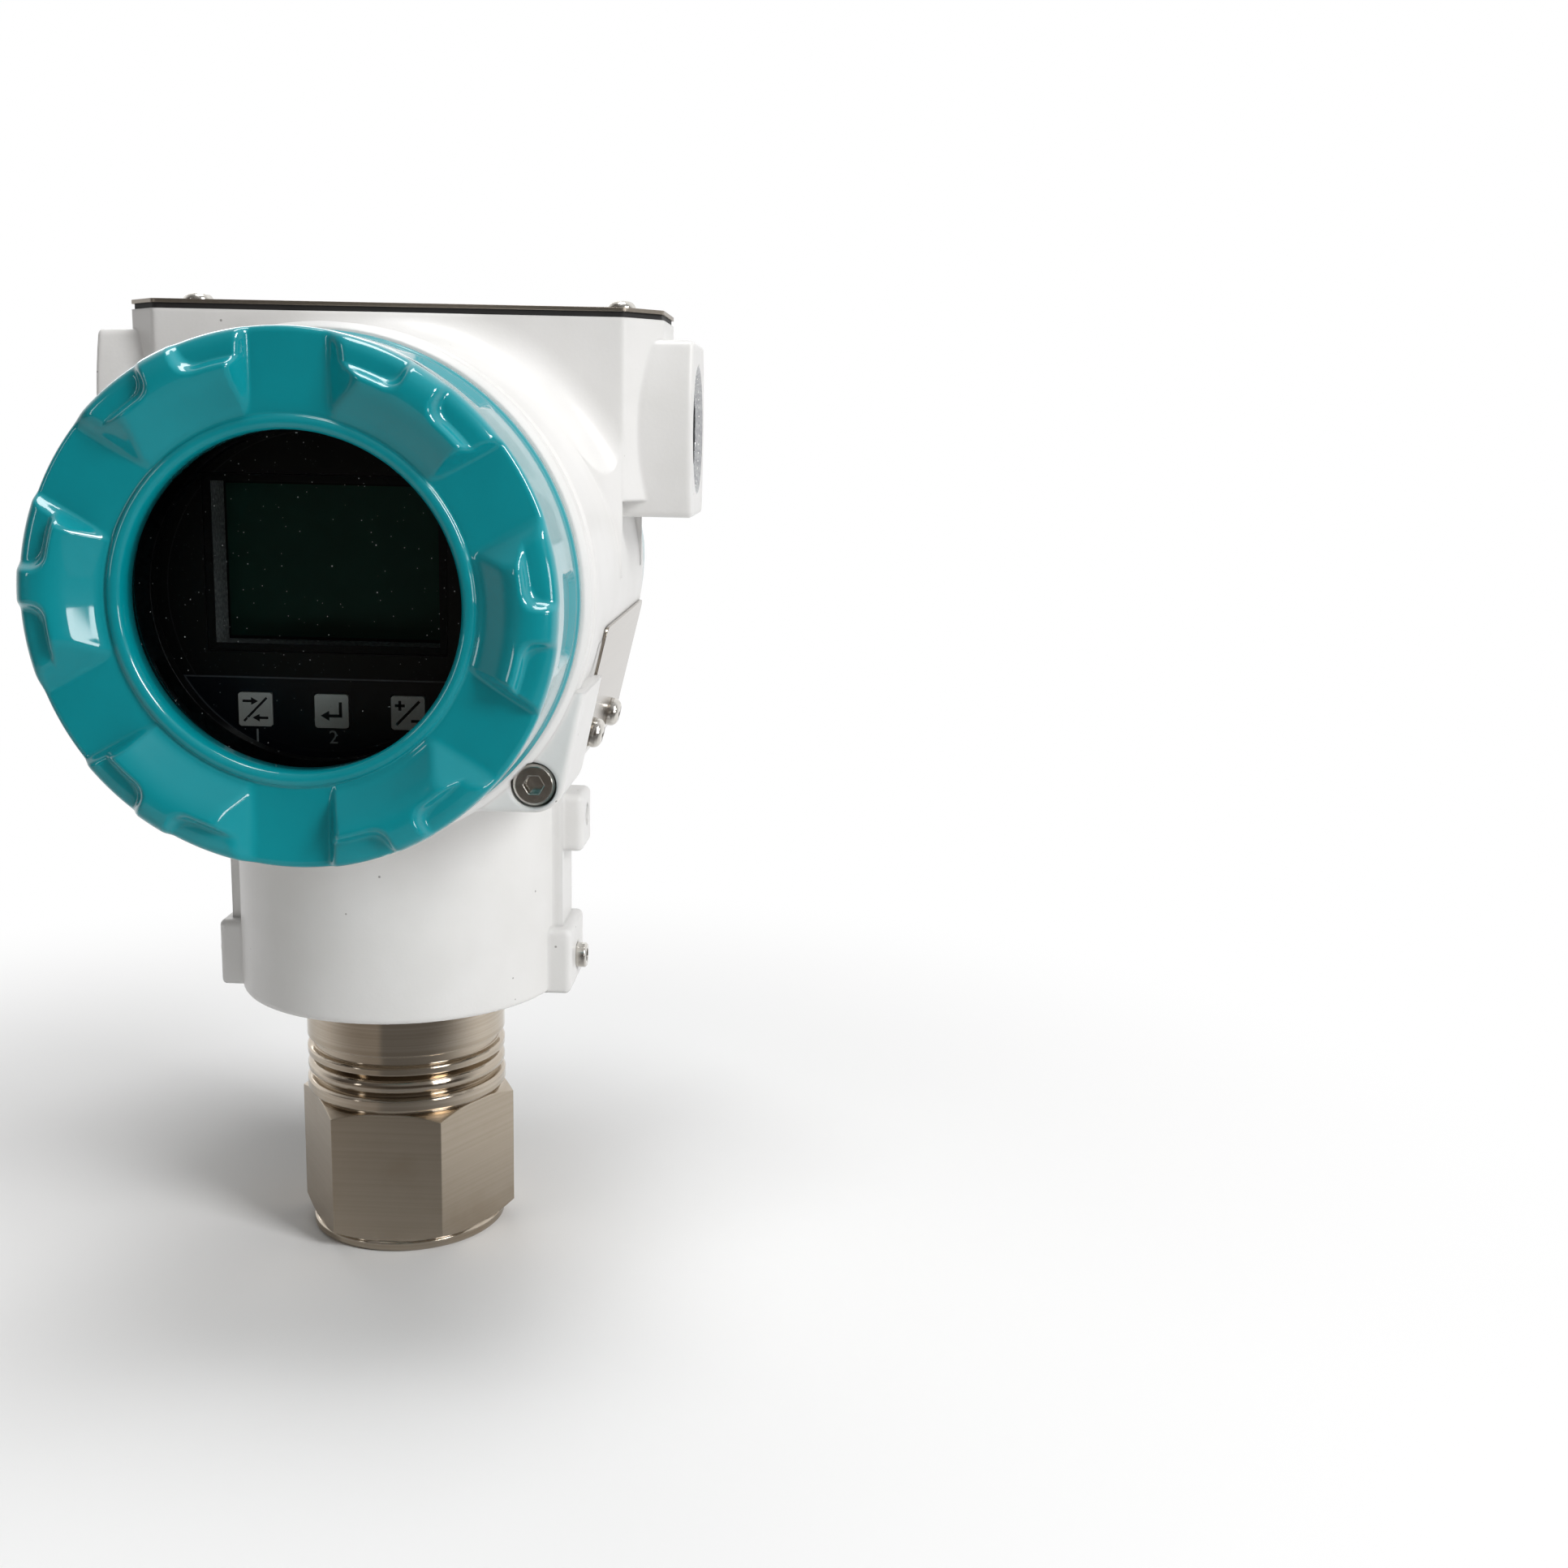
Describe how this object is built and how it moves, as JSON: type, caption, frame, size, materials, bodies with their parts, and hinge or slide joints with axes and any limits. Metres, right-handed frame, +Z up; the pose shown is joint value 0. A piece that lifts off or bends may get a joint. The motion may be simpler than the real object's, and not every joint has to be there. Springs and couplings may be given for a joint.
{
  "type": "pressure transmitter",
  "caption": "Pressure transmitter with a round windowed display housing, blind rear terminal cover, side conduit entries and a hexagon process connection below.",
  "frame": {"origin": "centre of the process connection's flat lower end, where the threaded port opens", "axes": "+Z up along the neck and the port's axis, the display faces -Y, +X to the right of a reader who faces the display"},
  "size_m": [0.1094, 0.1256, 0.1778],
  "materials": {
    "steel": "turned and brushed stainless, bright",
    "seal_rubber": "matt black",
    "housing_paint": "satin light grey powder coat",
    "cover_paint": "glossy teal paint",
    "glass": "clear tempered",
    "bright_screw": "nickel bright",
    "plate_steel": "smooth stainless sheet",
    "gasket_black": "matt black sheet",
    "bezel_plastic": "fine speckled black",
    "frame_plastic": "light grey",
    "screen": "dark green-grey",
    "key_rubber": "light grey",
    "board": "green solder mask",
    "inner_plastic": "black moulded",
    "terminal_plastic": "black moulded",
    "anodised": "dark anodised"
  },
  "bodies": {
    "sensor": {"process_connection": "steel", "neck_seal": "seal_rubber", "sensor_capsule": "steel", "sensor_connector": "inner_plastic"},
    "housing": {"housing": "housing_paint", "cover_lock_screw": "bright_screw", "top_plate_gasket": "gasket_black", "top_plate": "plate_steel", "top_plate_screws": "bright_screw", "nameplate_right": "plate_steel", "nameplate_left": "plate_steel", "nameplate_screws": "bright_screw", "ground_screw": "bright_screw", "ground_spring_washer": "bright_screw", "ground_flat_washer": "bright_screw", "neck_set_screws": "bright_screw", "display_bezel": "bezel_plastic", "screen_frame": "frame_plastic", "screen_panel": "screen", "key_switches": "inner_plastic", "display_board": "board", "display_carrier": "inner_plastic", "display_standoffs": "steel", "main_board": "board", "electronics_module": "inner_plastic", "feedthrough": "inner_plastic", "terminal_block": "terminal_plastic", "terminal_clamps": "bright_screw", "terminal_screws": "bright_screw", "terminal_block_screws": "bright_screw"},
    "front_seal": {"front_cover_seal": "seal_rubber"},
    "front_cover": {"front_cover": "cover_paint", "window_gasket": "gasket_black", "window_glass": "glass", "window_retaining_ring": "anodised"},
    "rear_seal": {"rear_cover_seal": "seal_rubber"},
    "rear_cover": {"rear_cover": "cover_paint"},
    "key_left": {"key_left": "key_rubber"},
    "key_middle": {"key_middle": "key_rubber"},
    "key_right": {"key_right": "key_rubber"}
  },
  "joints": [
    {"name": "housing_turn", "type": "hinge", "parent": "sensor", "child": "housing", "pos_m": [0, 0, 0.06], "axis": [0, 0, 1], "range_deg": [-180, 180]},
    {"name": "front_cover_travel", "type": "slide", "parent": "housing", "child": "front_seal", "axis": [0, -1, 0], "range_m": [0, 0.01]},
    {"name": "front_cover_turn", "type": "hinge", "parent": "front_seal", "child": "front_cover", "pos_m": [0, -0.0467, 0.1275], "axis": [0, -1, 0], "range_deg": [0, 1800]},
    {"name": "rear_cover_travel", "type": "slide", "parent": "housing", "child": "rear_seal", "axis": [0, 1, 0], "range_m": [0, 0.01]},
    {"name": "rear_cover_turn", "type": "hinge", "parent": "rear_seal", "child": "rear_cover", "pos_m": [0, 0.0367, 0.1275], "axis": [0, 1, 0], "range_deg": [0, 1800]},
    {"name": "key_left_press", "type": "slide", "parent": "housing", "child": "key_left", "axis": [0, 1, 0], "range_m": [0, 0.0004], "stiffness_N_per_m": 800},
    {"name": "key_middle_press", "type": "slide", "parent": "housing", "child": "key_middle", "axis": [0, 1, 0], "range_m": [0, 0.0004], "stiffness_N_per_m": 800},
    {"name": "key_right_press", "type": "slide", "parent": "housing", "child": "key_right", "axis": [0, 1, 0], "range_m": [0, 0.0004], "stiffness_N_per_m": 800}
  ],
  "couplings": [
    {"joint": "front_cover_travel", "follows": "front_cover_turn", "m_per_rad": 0.00031831},
    {"joint": "rear_cover_travel", "follows": "rear_cover_turn", "m_per_rad": 0.00031831}
  ]
}
